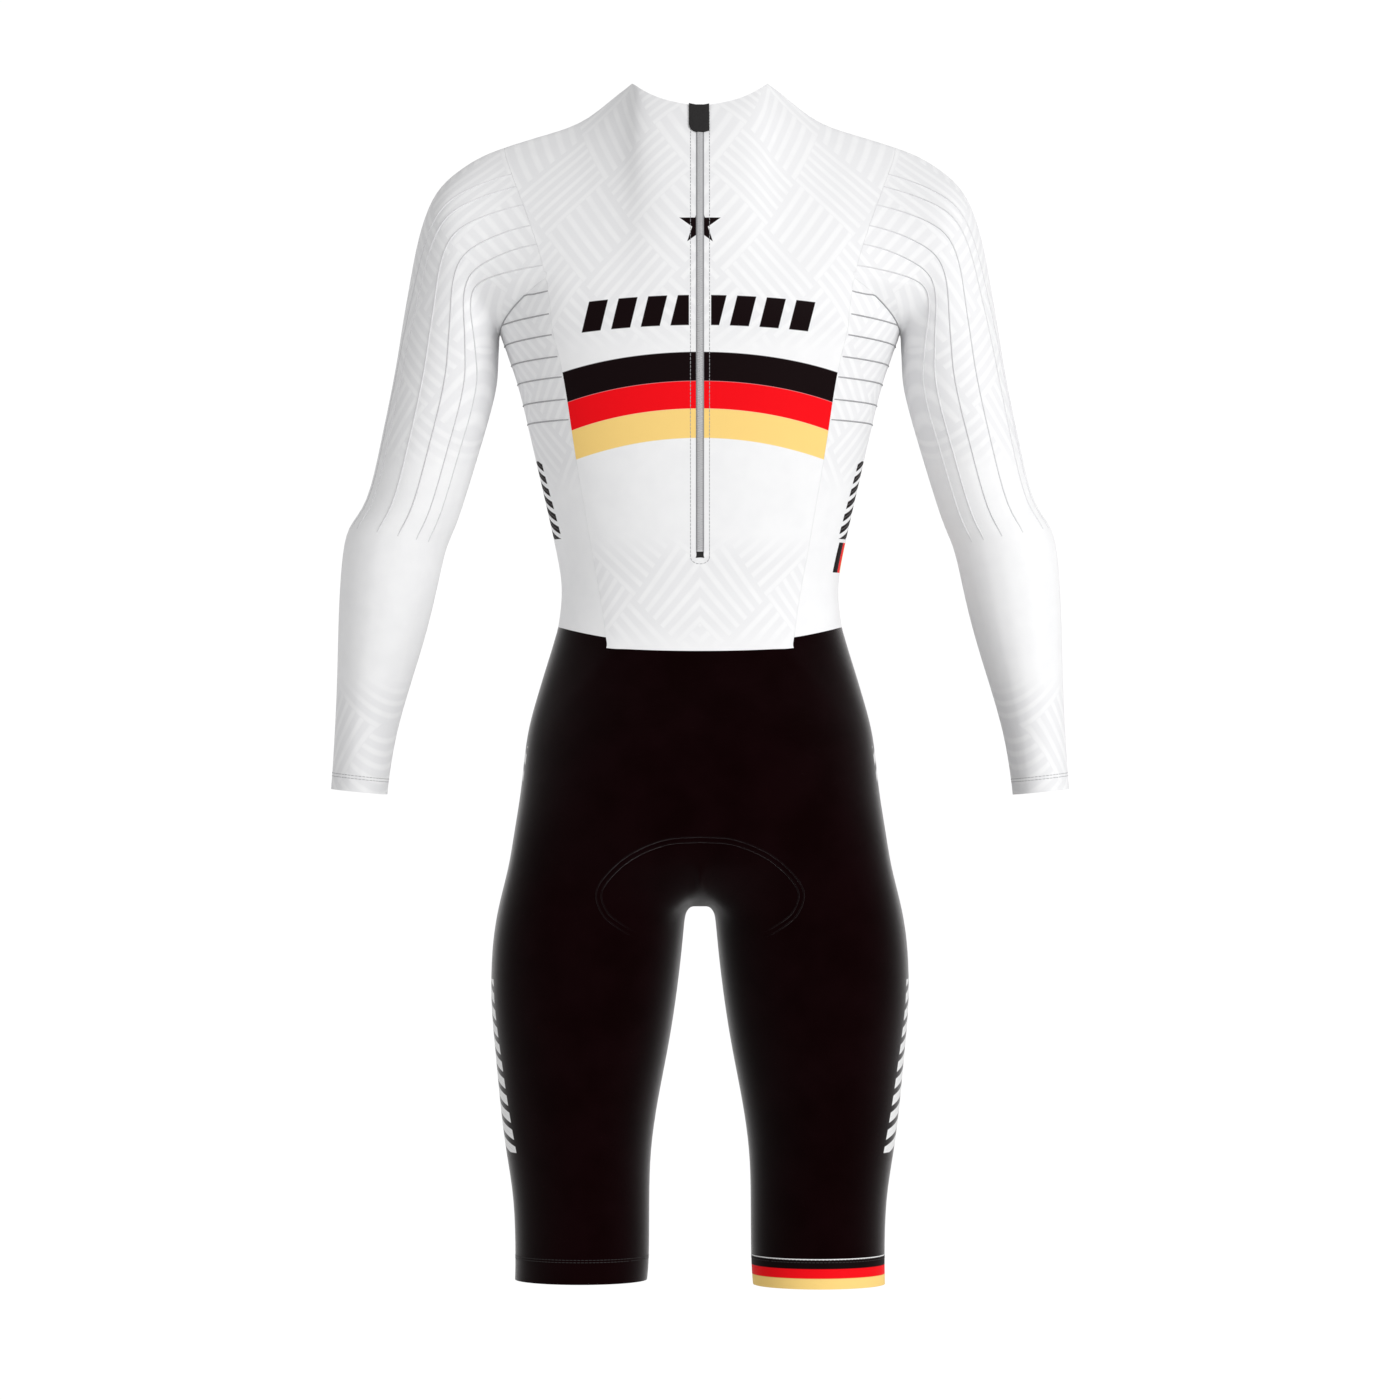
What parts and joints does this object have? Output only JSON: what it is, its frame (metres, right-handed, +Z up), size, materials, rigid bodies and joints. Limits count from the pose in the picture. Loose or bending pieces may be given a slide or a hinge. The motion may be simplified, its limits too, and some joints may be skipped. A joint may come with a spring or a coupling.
{
  "type": "cycling speed suit",
  "caption": "Long-sleeved, knee-length cycling speed suit, filled out as worn, with a back zip, ribbed sleeves and sides, white top and black shorts.",
  "frame": {"origin": "between the shoulders at shoulder height, where the wearer's shoulders and neck hold the suit", "axes": "+Z up along the body, -Y towards the front, +Y towards the back with the zip, +X towards the wearer's left"},
  "size_m": [0.656, 0.2301, 1.0629],
  "materials": {
    "white_lycra": "matte white stretch knit with a faint tonal print",
    "black_lycra": "matte black stretch knit with a soft sheen at grazing angles",
    "hem_band": "printed stretch band in black, red and gold",
    "zip_coil": "satin grey coil"
  },
  "bodies": {
    "root": {"front_panel": "white_lycra", "back_panel": "white_lycra", "side_panel_left": "white_lycra", "side_panel_right": "white_lycra", "sleeve_left": "white_lycra", "sleeve_right": "white_lycra", "shorts_front": "black_lycra", "shorts_back": "black_lycra", "hem_band_right": "hem_band", "zip_chain": "zip_coil", "zip_stop": "black_lycra", "zip_tape_left": "white_lycra", "zip_tape_right": "white_lycra", "zip_garage": "black_lycra"}
  },
  "joints": []
}
